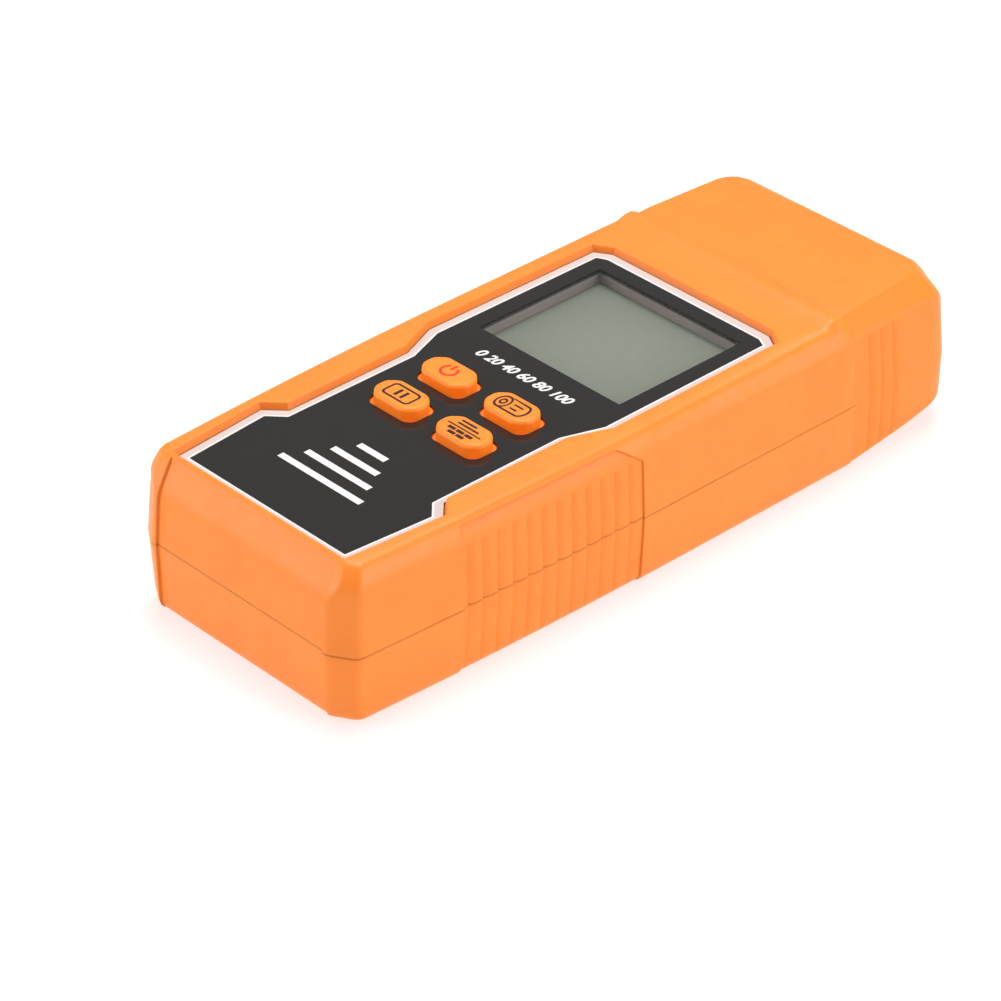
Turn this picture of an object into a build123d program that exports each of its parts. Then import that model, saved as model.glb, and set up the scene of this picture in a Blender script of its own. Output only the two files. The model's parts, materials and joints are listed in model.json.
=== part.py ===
"""Pin-type moisture meter: a two-shell handheld case with a push-on cap over two probe pins.

Millimetres. +Z points out of the display face and the back of the case lies on Z = 0.
+Y runs from the near end to the cap, +X is to the right of a reader facing the display.
The origin is the centre of the footprint, on the back face.
"""

import math
import os

from build123d import *

# ---------------------------------------------------------------- case, driving dimensions
LENGTH = 127.0
WIDTH = 51.0
HEIGHT = 23.0
HALF_WIDTH = WIDTH / 2
NEAR_Y = -LENGTH / 2
FAR_Y = LENGTH / 2
JOINT_Y = 39.7  # where the body ends and the cap begins
SEAM_Z = 10.0
SEAM_GAP = 0.08
WALL = 2.0
FLOOR = 2.0
LIP_OUTER = 0.95  # the seam tongue's outer face, in from the outside of the case
LIP_H = 1.2
LIP_GAP = 0.1

SIDE_STRAIGHT_Y = 0.0  # the sides are straight from here to the cap, and curve in before it
SIDE_CURVE_R = 955.0
FACET_W = 4.15  # corner facets, in plan
FACET_D = 2.5
FACET_ROUND = 2.0
EDGE_Z = 19.3  # bottom of the long bevels
RIM_Z = 22.2  # top surface round the label
BASE_INSET = 0.9
EDGE_INSET = 0.3
RIM_INSET = 1.6
RIM_ROUND = 0.9
BOTTOM_ROUND = 1.6

END_BEVEL_Z = 17.4
END_BEVEL_RUN = 2.6
END_PANEL_DEPTH = 0.4
END_PANEL_HALF = 18.5

RIDGE_Y = (34.9, 37.7, 38.9)  # start of the ramp, both ends of the crest
RIDGE_FLUSH = ((25.0, EDGE_Z), (23.6, 21.8), (22.6, 22.1))
RIDGE_PROUD = ((25.44, EDGE_Z + 0.2), (24.6, 21.3), (22.9, HEIGHT))

# ---------------------------------------------------------------- label, window and display
LABEL_TOP = 21.27
LABEL_T = 0.35
LABEL_FLOOR = LABEL_TOP - LABEL_T
SKIN_T = 1.5
SKIN_UNDER = LABEL_FLOOR - SKIN_T
LABEL_HALF = [
    (18.8, -59.3),
    (20.3, -41.8),
    (17.2, -38.9),
    (17.4, -14.7),
    (20.2, -7.7),
    (20.0, 27.5),
    (17.2, 29.2),
]
POCKET_FLARE = 0.6

WINDOW_HALF = 15.42
WINDOW_Y = (-1.51, 24.55)
LCD_TOP = 19.07
FILM_T = 0.2
LCD_T = 1.9
LCD_HALF = 17.4
LCD_Y = (-4.1, 27.15)
BEZEL_WALL = 1.35

# ---------------------------------------------------------------- keys
KEY_X = 6.95
KEY_ROWS = (-15.65, -25.4)
KEY_W = 9.75
KEY_H = 5.8
KEY_CORNER = 1.75
KEY_ROUND = 1.9  # plan rounding of the eight corners
KEY_TOP_ROUND = 0.6
KEY_SLOT_W = KEY_W + 0.4
KEY_SLOT_H = KEY_H + 0.4
KEY_SLOT_ROUND = 2.0
KEY_TOP = 22.9
KEY_BASE_TOP = 20.95
KEY_TRAVEL = 0.9
KEY_GAP = 0.1
KEY_FLANGE_TOP = 19.35
KEY_FLANGE_Z = 18.3
STEM_W = 6.6
STEM_H = 3.8
STEM_Z = 17.15
PILL_R = 1.75

# ---------------------------------------------------------------- circuit board
BOARD_TOP = 15.5
BOARD_T = 1.2
BOARD_UNDER = BOARD_TOP - BOARD_T
PAD_T = 0.04
PILL_Z = BOARD_TOP + PAD_T + KEY_TRAVEL + 0.01
BOARD_HALF = 18.9
BOARD_Y = (-53.5, 30.4)
BOARD_SCREWS = [(16.6, -48.5), (17.2, -9.0)]
BOARD_BOSS_R = 2.2
BOARD_SCREW_R = 0.78
BOARD_SCREW_HEAD_R = 1.6
BOARD_SCREW_HEAD_T = 1.2

LEAD_R = 0.55
LEAD_GAP = 0.3  # between a lead's cut end and the board

# ---------------------------------------------------------------- case screws
CASE_SCREWS = [(18.2, -56.8), (19.4, 34.2)]
CASE_BOSS_R = 3.0
BOSS_FACE_Z = 9.6
SCREW_HEAD_R = 2.2
SCREW_SEAT_Z = 2.6
SCREW_HEAD_T = 1.6
SCREW_R = 1.1

# ---------------------------------------------------------------- battery bay (two AAA cells)
CELL_R = 5.25
CELL_L = 44.5
NUB_L = 1.0
NUB_R = 1.9
CELL_X = 5.6
CELL_Z = 7.4
BAY_HALF = 11.3
BAY_Y = (-57.5, -5.9)
BAY_TOP = 12.95
BAY_WALL = 1.4
CONTACT_T = 0.45
DOOR_T = 1.45
DOOR_Z = 0.1
DOOR_LEDGE = 1.3
DOOR_GAP = 0.15
HOOK_W = 1.9  # the hooks pass outside the cells' lower sides
HOOK_X = 10.0
HOOK_REACH = 1.6

# ---------------------------------------------------------------- neck, probe pins and cap
NECK_HALF = 22.3
NECK_Z = (2.7, 20.2)
NECK_END = 48.0
NECK_ROUND = 3.0
NECK_WALL = 1.8
PIN_X = 6.0
PIN_Z = 11.45
PIN_R = 0.8
PIN_TIP_Y = 59.4
PIN_TAPER = 3.2
SOCKET_R = 1.9
NOSE_END = 49.2
NOSE_HALF = 13.0
NOSE_H = 9.0
BLOCK_BACK = 44.1

CAP_GAP = 0.05
CAP_HALF = 25.1
CAP_FAR_HALF = 24.7
CAP_EDGE_Z = 19.6
CAP_TOP = 22.8
CAP_NEAR_Y = 42.0  # the top dips slightly from here to the joint
CAP_NEAR_FALL = 0.1
CAP_TOP_HALF = 22.4
CAP_TOP_TAPER = 0.07  # per millimetre towards the far end
CAP_TOP_CORNER = (56.7, 4.0)  # where the top's corner rounding starts, and its radius
CAP_END_BEVEL_Y = 60.9
CAP_CORNER_R = 5.0
CAP_BOTTOM_ROUND = 1.5
CAP_LIFT = 0.085  # slope of the underside
CAP_NOSE_LIFT = 0.08  # added slope from CAP_NOSE_Y on
CAP_NOSE_Y = 54.0
CAP_GROOVES = (43.7, 46.45, 49.2)

GRIP_Y = (-41.5, -6.1)
GRIP_TOP = 21.3
GRIP_DEPTH = 0.3
GRIP_PITCH = 2.89
GRIP_FIRST_Y = -40.5
GRIP_COUNT = 12
GROOVE_NEAR = 0.3
GROOVE_FAR = 0.85
GROOVE_DEPTH = 0.38


# ================================================================= small helpers
def block(x, y, z):
    """A box from its low and high limits on each axis."""
    size = (x[1] - x[0], y[1] - y[0], z[1] - z[0])
    centre = ((x[0] + x[1]) / 2, (y[0] + y[1]) / 2, (z[0] + z[1]) / 2)
    return Pos(*centre) * Box(*size)


def post(x, y, z_low, z_high, radius):
    """An upright cylinder."""
    return Pos(x, y, (z_low + z_high) / 2) * Cylinder(radius, z_high - z_low)


def rod(x, z, y_low, y_high, radius):
    """A cylinder that lies along Y."""
    return Pos(x, (y_low + y_high) / 2, z) * Rot(90, 0, 0) * Cylinder(radius, y_high - y_low)


def both_sides(points):
    """Each point and its mirror image across X = 0."""
    return [(side * x, y) for x, y in points for side in (-1, 1)]


def mirrored_outline(half):
    """A closed polygon from the points of its right half, listed from the near end."""
    left = [(-x, y) for x, y in reversed(half)]
    return make_face(Polyline(*half, *left, close=True))


def rounded_block(x, y, z, radius):
    """A box along Y whose cross-section has rounded corners."""
    width = x[1] - x[0]
    height = z[1] - z[0]
    centre = ((x[0] + x[1]) / 2, y[0], (z[0] + z[1]) / 2)
    section = Plane(origin=centre, z_dir=(0, 1, 0), x_dir=(1, 0, 0)) * RectangleRounded(
        width, height, radius
    )
    return extrude(section, y[1] - y[0])


def side_view(points, x_low, x_high):
    """A prism along X from a polygon given in (y, z)."""
    face = make_face(Polyline(*[(x_low, y, z) for y, z in points], close=True))
    return extrude(face, x_high - x_low, dir=(1, 0, 0))


# ================================================================= outer form
def side_x(y):
    """Half-width of the case at the seam."""
    back = max(0.0, SIDE_STRAIGHT_Y - y)
    return HALF_WIDTH - back * back / (2 * SIDE_CURVE_R)


def ramp(value, start, reach):
    """Zero before start and rising by one per unit after it, with a rounded knee of the given reach."""
    past = value - start
    if past <= -reach:
        return 0.0
    if past >= reach:
        return past
    return (past + reach) ** 2 / (4 * reach)


def quarter_round(past, radius):
    """How far a quarter circle falls away at a distance past its tangent point."""
    past = min(max(past, 0.0), radius)
    return radius - math.sqrt(radius * radius - past * past)


def edge_rounds(z):
    """Inset from the rounded bottom and top edges."""
    return quarter_round(BOTTOM_ROUND - z, BOTTOM_ROUND) + quarter_round(z - RIM_Z + RIM_ROUND, RIM_ROUND)


def draft_inset(z):
    """Inset from the moulding draft, which runs both ways from the seam."""
    if z < SEAM_Z:
        return BASE_INSET * (SEAM_Z - z) / SEAM_Z
    return EDGE_INSET * (z - SEAM_Z) / (EDGE_Z - SEAM_Z)


def side_inset(z):
    """How far the sides stand in from the seam's outline at this height."""
    slope = (RIM_INSET - EDGE_INSET) / (RIM_Z - EDGE_Z)
    return draft_inset(z) + slope * ramp(z, EDGE_Z, 1.0) + edge_rounds(z)


def end_inset(z):
    """How far the near end stands in from the seam's outline at this height."""
    slope = END_BEVEL_RUN / (RIM_Z - END_BEVEL_Z)
    return draft_inset(z) + slope * ramp(z, END_BEVEL_Z, 1.4) + edge_rounds(z)


def facet_share(z):
    """Size of the corner facets, which shrink towards the rim."""
    return 1.0 - 0.2 * ramp(z, END_BEVEL_Z, 0.8) + 0.15 * ramp(z, EDGE_Z, 0.8)


def case_outline(z, side, end, facet=1.0, far_y=JOINT_Y):
    """Plan outline of the body at the given insets: flat end, corner facets, gently curved sides."""
    corner_y = NEAR_Y + FACET_D * facet + end
    corner = (side_x(corner_y) - side, corner_y)
    front = (corner[0] - FACET_W * facet, NEAR_Y + end)
    middle = (side_x(corner_y / 2) - side, corner_y / 2)
    straight = (HALF_WIDTH - side, SIDE_STRAIGHT_Y)
    far = (HALF_WIDTH - side, far_y)
    right = [Line(front, corner), ThreePointArc(corner, middle, straight), Line(straight, far)]
    left = [edge.mirror(Plane.YZ) for edge in right]
    front_edge = Line((-front[0], front[1]), front)
    far_edge = Line((-far[0], far[1]), far)
    outline = make_face([front_edge, far_edge, *right, *left])
    near = [vertex for vertex in outline.vertices() if vertex.Y < corner_y + 0.01]
    return Pos(0, 0, z) * fillet(near, FACET_ROUND * facet)


def body_form(shrink=0.0):
    """The outside of both shells together, before the label pocket and the grips."""
    bottom = [BOTTOM_ROUND * share for share in (0, 0.08, 0.25, 0.5, 1)]
    knees = [16.0, 16.7, 17.4, 18.1, 18.7, 19.3, 19.8, 20.3]
    top = [RIM_Z - RIM_ROUND * share for share in (1, 0.5, 0.25, 0.08, 0)]
    levels = [
        case_outline(z, side_inset(z) + shrink, end_inset(z), facet_share(z))
        for z in bottom + [SEAM_Z] + knees + top
    ]
    return loft(levels, ruled=True)


def end_panel():
    """What is cut from the near end to leave the two corner bumpers proud."""
    heights = [0, 0.4, 0.8, BOTTOM_ROUND, SEAM_Z, 16.0, 16.7, 17.4, 18.1, 18.8, RIM_Z - RIM_ROUND]
    face = [(NEAR_Y + end_inset(z) + END_PANEL_DEPTH, z) for z in heights]
    low = face[0][0]
    high = face[-1][0] + 0.3
    outside = NEAR_Y - 1
    profile = [(outside, -1), (low, -1), *face, (high, RIM_Z), (high, HEIGHT + 1), (outside, HEIGHT + 1)]
    return side_view(profile, -END_PANEL_HALF, END_PANEL_HALF)


def ridge_section(y, rise):
    """Cross-section of the raised band, from flush at rise 0 to fully proud at rise 1."""
    half = [
        (flush[0] + (proud[0] - flush[0]) * rise, flush[1] + (proud[1] - flush[1]) * rise)
        for flush, proud in zip(RIDGE_FLUSH, RIDGE_PROUD)
    ]
    half.insert(0, (half[0][0], SEAM_Z + 2))
    left = [(-x, z) for x, z in reversed(half)]
    face = make_face(Polyline(*[(x, y, z) for x, z in half + left], close=True))
    return fillet(face.vertices().group_by(Axis.Z)[-1], 1.0)


def ridge():
    """The raised band across the top: a ramp, a crest and a softened far edge."""
    start, crest_start, crest_end = RIDGE_Y
    rises = {start: 0.0, crest_start - 0.5: 0.88, crest_start: 1.0, crest_end: 1.0, JOINT_Y: 0.7}
    return loft([ridge_section(y, rise) for y, rise in rises.items()], ruled=True)


def grip_panel(side):
    """What is cut from one side of the case: a shallow panel with upright grooves."""
    low, high = GRIP_Y
    outline = [(low, -1), (high, -1), (high, EDGE_Z - 0.9), (high - 4.7, GRIP_TOP), (low, GRIP_TOP)]
    cut = side_view(outline, HALF_WIDTH - 4, HALF_WIDTH + 2) - body_form(GRIP_DEPTH)
    for index in range(GRIP_COUNT):
        cut += grip_groove(GRIP_FIRST_Y + index * GRIP_PITCH)
    return cut if side > 0 else mirror(cut, Plane.YZ)


def groove_section(x, y):
    """Plan of a V groove in a side at x: a steep near wall and a broad far wall."""
    mouth = x + GROOVE_DEPTH
    corners = [(mouth, y - 2 * GROOVE_NEAR), (x - GROOVE_DEPTH, y), (mouth, y + 2 * GROOVE_FAR)]
    return make_face(Polyline(*corners, close=True))


def grip_groove(y):
    """One upright V groove that follows the draft of the right side."""
    outer = side_x(y) - GRIP_DEPTH
    sections = []
    for z, inset in ((-1, BASE_INSET - 0.1), (SEAM_Z, 0), (EDGE_Z - 0.7, EDGE_INSET)):
        sections.append(Pos(0, 0, z) * groove_section(outer - inset, y))
    return loft(sections, ruled=True)


def case_cavity():
    """The space inside both shells."""
    low = BASE_INSET + WALL
    end = WALL + END_PANEL_DEPTH
    levels = [
        case_outline(FLOOR, low, low, far_y=JOINT_Y - WALL),
        case_outline(SEAM_Z, WALL, end, far_y=JOINT_Y - WALL),
        case_outline(END_BEVEL_Z, WALL + EDGE_INSET, end, far_y=JOINT_Y - WALL),
        case_outline(SKIN_UNDER, WALL + EDGE_INSET, end + 0.6, far_y=JOINT_Y - WALL),
    ]
    return loft(levels, ruled=True)


def neck_form():
    """The neck that the cap slides over."""
    return rounded_block((-NECK_HALF, NECK_HALF), (JOINT_Y - 1, NECK_END), NECK_Z, NECK_ROUND)


def neck_cavity():
    """The inside of the neck, and the opening in its end for the pin block."""
    inner_half = NECK_HALF - NECK_WALL
    inner_z = (NECK_Z[0] + NECK_WALL, NECK_Z[1] - NECK_WALL)
    inside = rounded_block(
        (-inner_half, inner_half), (JOINT_Y - WALL - 1, NECK_END - NECK_WALL), inner_z, NECK_ROUND - 1
    )
    opening = block(
        (-NOSE_HALF - 0.1, NOSE_HALF + 0.1),
        (NECK_END - NECK_WALL - 1, NECK_END + 1),
        (PIN_Z - NOSE_H / 2 - 0.1, PIN_Z + NOSE_H / 2 + 0.1),
    )
    return inside + opening


def case_solid():
    """Outer form with grips, ridge and neck, hollowed."""
    form = body_form() + ridge()
    form -= end_panel()
    form -= grip_panel(1)
    form -= grip_panel(-1)
    form += neck_form()
    form -= case_cavity()
    form -= neck_cavity()
    return form


# ================================================================= shells
def label_pocket():
    """The shallow recess the label is glued into, with a sloping wall."""
    outline = mirrored_outline(LABEL_HALF)
    low = Pos(0, 0, LABEL_FLOOR) * offset(outline, 0.08, kind=Kind.INTERSECTION)
    top = Pos(0, 0, RIM_Z + 0.2) * offset(outline, POCKET_FLARE, kind=Kind.INTERSECTION)
    return loft([low, top], ruled=True)


def window_opening(grow, z_low, z_high):
    """A rectangular prism over the display window, larger by grow on each edge."""
    x = (-WINDOW_HALF - grow, WINDOW_HALF + grow)
    y = (WINDOW_Y[0] - grow, WINDOW_Y[1] + grow)
    return block(x, y, (z_low, z_high))


def key_centres():
    """Power, hold, wood and wall key positions by name."""
    return {
        "power": (-KEY_X, KEY_ROWS[0]),
        "hold": (-KEY_X, KEY_ROWS[1]),
        "wood": (KEY_X, KEY_ROWS[0]),
        "wall": (KEY_X, KEY_ROWS[1]),
    }


def key_openings(z_low, z_high):
    """The four openings that the keys stand through."""
    cut = Part()
    for x, y in key_centres().values():
        opening = RectangleRounded(KEY_SLOT_W, KEY_SLOT_H, KEY_SLOT_ROUND)
        cut += extrude(Pos(x, y, z_low) * opening, z_high - z_low)
    return cut


def upper_shell(case):
    """Front half of the case, with its label pocket and its screw bosses."""
    shell = case & block((-WIDTH, WIDTH), (NEAR_Y - 1, FAR_Y), (SEAM_Z + SEAM_GAP / 2, HEIGHT + 1))
    shell -= label_pocket()
    shell -= window_opening(1.5, SKIN_UNDER - 1, LABEL_FLOOR + 1)
    shell -= key_openings(SKIN_UNDER - 1, LABEL_FLOOR + 1)
    for x, y in both_sides(CASE_SCREWS):
        shell += post(x, y, BOSS_FACE_Z, SKIN_UNDER + 0.1, CASE_BOSS_R)
        shell -= post(x, y, BOSS_FACE_Z - 1, BOSS_FACE_Z + 7.0, SCREW_R + 0.02)
    for x, y in both_sides(BOARD_SCREWS):
        shell += post(x, y, BOARD_TOP + 0.02, SKIN_UNDER + 0.1, BOARD_BOSS_R)
        shell -= post(x, y, BOARD_TOP - 1, BOARD_TOP + 3.2, BOARD_SCREW_R + 0.02)
    shell += neck_ribs(PIN_Z + 5.0, NECK_Z[1] - NECK_WALL + 0.1)
    groove = seam_ring(LIP_OUTER - LIP_GAP, WALL + 0.3, SEAM_Z - 1, SEAM_Z + LIP_H + LIP_GAP)
    return shell - groove


def seam_ring(outer, inner, z_low, z_high):
    """A band that follows the case wall at the seam, between two insets from its outside."""
    height = z_high - z_low
    panel = END_PANEL_DEPTH
    ring = extrude(case_outline(z_low, outer, outer + panel, far_y=JOINT_Y - outer), height)
    hole = case_outline(z_low - 1, inner, inner + panel, far_y=JOINT_Y - inner)
    neck = block((-NECK_HALF, NECK_HALF), (JOINT_Y - WALL - 1, JOINT_Y + 1), (z_low - 1, z_high + 1))
    return ring - extrude(hole, height + 2) - neck


def battery_bay():
    """The tray moulded into the lower shell, as its outside and its inside."""
    x = BAY_HALF + DOOR_LEDGE + 1.2
    outside = block(
        (-x, x), (BAY_Y[0] - BAY_WALL, BAY_Y[1] + BAY_WALL), (FLOOR / 2, BAY_TOP + 1.0)
    )
    inside = block((-BAY_HALF, BAY_HALF), BAY_Y, (-1, BAY_TOP))
    return outside, inside


def door_opening(gap):
    """The door's place in the floor, smaller by gap on each edge."""
    x = BAY_HALF + DOOR_LEDGE - gap
    y = (BAY_Y[0] - 0.5 + gap, BAY_Y[1] + 0.5 - gap)
    return (-x, x), y


def lower_shell(case):
    """Back half of the case, with the battery tray, screw bosses and the seam tongue."""
    shell = case & block((-WIDTH, WIDTH), (NEAR_Y - 1, FAR_Y), (-1, SEAM_Z - SEAM_GAP / 2))
    shell += seam_ring(LIP_OUTER, WALL - 0.15, SEAM_Z - LIP_H, SEAM_Z + LIP_H)
    outside, inside = battery_bay()
    shell += outside
    for x, y in both_sides(CASE_SCREWS):
        shell += post(x, y, FLOOR / 2, BOSS_FACE_Z - 0.02, CASE_BOSS_R)
        shell -= post(x, y, -1, SCREW_SEAT_Z, SCREW_HEAD_R + 0.25)
        shell -= post(x, y, 0, BOSS_FACE_Z + 1, SCREW_R + 0.2)
    shell -= inside
    opening_x, opening_y = door_opening(0)
    shell -= block(opening_x, opening_y, (-1, DOOR_Z + DOOR_T + 0.05))
    for x in (-HOOK_X, HOOK_X):
        slot = (x - HOOK_W / 2 - 0.3, x + HOOK_W / 2 + 0.3)
        shell -= block(slot, (BAY_Y[0] - 2.6, BAY_Y[0] + 1), (FLOOR, FLOOR + 2.4))
    for x in (-CELL_X, CELL_X):
        shell -= block((x - 0.8, x + 0.8), (BAY_Y[1] - 1, BAY_Y[1] + 3), (9.6, 11.2))
    shell += neck_ribs(NECK_Z[0] + NECK_WALL - 0.1, PIN_Z - 5.0)
    return shell


# ================================================================= battery bay contents
def battery_door():
    """Cover plate with two hooks at the near end and a finger recess at the far end."""
    x, y = door_opening(DOOR_GAP)
    top = DOOR_Z + DOOR_T
    door = block(x, y, (DOOR_Z, top))
    edges = door.edges().filter_by(Axis.Z)
    door = fillet(edges, 1.0)
    hook_low = FLOOR + 0.05
    hook_high = hook_low + 1.0
    for centre in (-HOOK_X, HOOK_X):
        width = (centre - HOOK_W / 2, centre + HOOK_W / 2)
        door += block(width, (BAY_Y[0] + 0.3, BAY_Y[0] + 1.3), (top - 0.1, hook_high))
        door += block(width, (y[0] - HOOK_REACH, BAY_Y[0] + 1.3), (hook_low, hook_high))
    recess = Pos(0, y[1] - 4.0, DOOR_Z) * Sphere(4.2)
    door -= recess & block((-5, 5), (y[1] - 9, y[1] - 4.0), (-1, DOOR_Z + 0.8))
    for index in range(3):
        line_y = y[1] - 11.0 - 1.8 * index
        door -= block((-6, 6), (line_y - 0.4, line_y + 0.4), (-1, DOOR_Z + 0.35))
    return door


def cell(x, nub_y, toward):
    """One AAA cell with its raised positive end at nub_y, pointing along +Y or -Y."""
    shoulder = nub_y - toward * NUB_L
    base = nub_y - toward * CELL_L
    can = rod(x, CELL_Z, min(shoulder, base), max(shoulder, base), CELL_R)
    can = fillet(can.edges().filter_by(GeomType.CIRCLE), 0.4)
    return can + rod(x, CELL_Z, min(shoulder, nub_y), max(shoulder, nub_y), NUB_R)


def contact_faces():
    """The near and the far contact plates' faces, along Y."""
    return BAY_Y[0] + 0.02 + CONTACT_T, BAY_Y[1] - 0.02 - CONTACT_T


def battery_cells():
    """Two cells side by side, facing opposite ways."""
    near, far = contact_faces()
    return [cell(-CELL_X, far - 0.02, 1), cell(CELL_X, near + 0.02, -1)]


def contact_springs():
    """A coil against the flat end of each cell."""
    near, far = contact_faces()
    spans = [(-CELL_X, near, far - 0.02 - CELL_L), (CELL_X, near + 0.02 + CELL_L, far)]
    wire_r = 0.28
    coil_r = 3.0
    springs = []
    for x, low, high in spans:
        start = low + wire_r + 0.03
        height = high - low - 2 * wire_r - 0.06
        helix = Helix(height / 4, height, coil_r, center=(x, start, CELL_Z), direction=(0, 1, 0))
        section = Plane(origin=helix @ 0, z_dir=helix % 0) * Circle(wire_r)
        springs.append(sweep(section, path=helix))
    return springs


def bridge_contact():
    """The plate that joins both cells at the near end."""
    near, _ = contact_faces()
    return block((-10.4, 10.4), (near - CONTACT_T, near), (4.0, 11.4))


def terminal(x):
    """One far contact plate, with a solder tail through the tray wall."""
    _, far = contact_faces()
    plate = block((x - 4.2, x + 4.2), (far, far + CONTACT_T), (4.0, 11.4))
    return plate + block((x - 0.5, x + 0.5), (far, BAY_Y[1] + BAY_WALL + 1.0), (10.2, 10.6))


def lead(points):
    """An insulated wire through the given points."""
    path = Spline(*points)
    section = Plane(origin=path @ 0, z_dir=path % 0) * Circle(LEAD_R)
    return sweep(section, path=path)


def battery_leads():
    """The two wires from the far contacts up to the circuit board."""
    start = BAY_Y[1] + BAY_WALL + 1.7
    leads = []
    for side in (-1, 1):
        points = [
            (side * CELL_X, start, 10.4),
            (side * (CELL_X + 1.5), start + 3.0, 10.8),
            (side * (CELL_X + 3.0), start + 5.0, BOARD_UNDER - LEAD_GAP),
        ]
        leads.append(lead(points))
    return leads


# ================================================================= electronics
def circuit_board():
    """The board, with clearance holes for its screws."""
    board = block((-BOARD_HALF, BOARD_HALF), BOARD_Y, (BOARD_UNDER, BOARD_TOP))
    board = fillet(board.edges().filter_by(Axis.Z), 1.0)
    for x, y in both_sides(BOARD_SCREWS):
        board -= post(x, y, BOARD_UNDER - 1, BOARD_TOP + 1, BOARD_SCREW_R + 0.25)
    return board


def leaded_chip(x, y, size, height, rows, pitch):
    """A chip under the board with gull-wing leads on its sides; rows holds leads per X and Y side."""
    top = BOARD_UNDER - 0.02
    half_x, half_y = size[0] / 2, size[1] / 2
    chip = block((x - half_x, x + half_x), (y - half_y, y + half_y), (top - height, top - 0.1))
    chip = chamfer(chip.edges().group_by(Axis.Z)[0], 0.2)
    for index in range(rows[0]):
        lead_y = y + (index - (rows[0] - 1) / 2) * pitch
        reach = size[0] / 2 + 0.8
        chip += block((x - reach, x + reach), (lead_y - 0.15, lead_y + 0.15), (top - 0.2, top))
    for index in range(rows[1]):
        lead_x = x + (index - (rows[1] - 1) / 2) * pitch
        reach = size[1] / 2 + 0.8
        chip += block((lead_x - 0.15, lead_x + 0.15), (y - reach, y + reach), (top - 0.2, top))
    return chip


def surface_parts(places, size):
    """Small two-terminal parts under the board, one block at each place."""
    top = BOARD_UNDER - 0.02
    width, length, height = size
    return [
        block((x - width / 2, x + width / 2), (y - length / 2, y + length / 2), (top - height, top))
        for x, y in places
    ]


def resistors():
    """Two rows of chip resistors."""
    places = [(-13.0 + 2.2 * column, 25.0 + 2.4 * row) for column in range(5) for row in range(2)]
    return surface_parts(places, (0.85, 1.6, 0.45))


def capacitors():
    """Chip capacitors beside the controller."""
    places = [(8.5 + 2.6 * column, 5.5 + 3.2 * row) for column in range(3) for row in range(2)]
    return surface_parts(places, (1.25, 2.0, 1.1))


def filter_capacitor():
    """The one upright electrolytic can."""
    can = post(13.0, 16.5, BOARD_UNDER - 5.4, BOARD_UNDER - 0.02, 2.5)
    return fillet(can.edges().group_by(Axis.Z)[0], 0.4)


def clock_crystal():
    """A low oval metal can."""
    can = Pos(-13.0, 9.0, BOARD_UNDER - 3.5) * SlotOverall(10.2, 4.3)
    return extrude(can, 3.48)


def key_pads():
    """The four printed contacts that the pills close."""
    return [post(x, y, BOARD_TOP, BOARD_TOP + PAD_T, 2.0) for x, y in key_centres().values()]


def board_screw(x, y):
    """A small pan-head screw, driven from under the board."""
    head_low = BOARD_UNDER - BOARD_SCREW_HEAD_T
    screw = post(x, y, head_low, BOARD_UNDER, BOARD_SCREW_HEAD_R)
    screw = fillet(screw.edges().group_by(Axis.Z)[0], 0.4)
    screw += post(x, y, BOARD_UNDER, BOARD_TOP + 2.8, BOARD_SCREW_R)
    return screw - cross_recess(x, y, head_low, 1.8, 0.5, 0.6)


def cross_recess(x, y, z, length, width, depth):
    """A cross slot that opens downwards at z."""
    along = block((x - length / 2, x + length / 2), (y - width / 2, y + width / 2), (z - 1, z + depth))
    across = block((x - width / 2, x + width / 2), (y - length / 2, y + length / 2), (z - 1, z + depth))
    return along + across


def case_screw(x, y):
    """A pan-head screw that closes the case from the back."""
    head_low = SCREW_SEAT_Z - SCREW_HEAD_T
    screw = post(x, y, head_low, SCREW_SEAT_Z, SCREW_HEAD_R)
    screw = fillet(screw.edges().group_by(Axis.Z)[0], 0.6)
    screw += post(x, y, SCREW_SEAT_Z, BOSS_FACE_Z + 6.0, SCREW_R)
    return screw - cross_recess(x, y, head_low, 2.6, 0.7, 0.9)


# ================================================================= display stack
def display_bezel():
    """Dark frame that locates the display and lines the window recess."""
    low = BOARD_TOP + 0.05
    seat = LCD_TOP + 0.03
    top = SKIN_UNDER - 0.05
    frame = lcd_block(BEZEL_WALL, low, top)
    frame += window_opening(1.4, top - 0.1, LABEL_FLOOR - 0.35)
    frame -= lcd_block(0.15, low - 1, seat)
    frame -= window_opening(0, seat - 1, LABEL_TOP)
    return frame


def display_window():
    """Clear pane, flush with the label, on a thin flange under it."""
    pane = window_opening(-0.04, LABEL_FLOOR - 0.1, LABEL_TOP - 0.02)
    pane = chamfer(pane.edges().group_by(Axis.Z)[-1], 0.08)
    return pane + window_opening(1.35, LABEL_FLOOR - 0.32, LABEL_FLOOR - 0.02)


def lcd_block(grow, z_low, z_high):
    """A box over the display glass, larger by grow on each edge."""
    return block((-LCD_HALF - grow, LCD_HALF + grow), (LCD_Y[0] - grow, LCD_Y[1] + grow), (z_low, z_high))


def lcd_cell():
    """Two bonded glass plates; the lower one is longer at both ends, for the contacts."""
    top = LCD_TOP - FILM_T
    middle = top - LCD_T / 2
    x = (-LCD_HALF, LCD_HALF)
    upper = block(x, (LCD_Y[0] + 0.6, LCD_Y[1] - 0.6), (middle, top))
    return upper + block(x, LCD_Y, (top - LCD_T, middle))


def lcd_film(z_low, shrink):
    """A polarising film over the glass."""
    x = (-LCD_HALF + 0.5, LCD_HALF - 0.5)
    return block(x, (LCD_Y[0] + shrink, LCD_Y[1] - shrink), (z_low, z_low + FILM_T))


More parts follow.
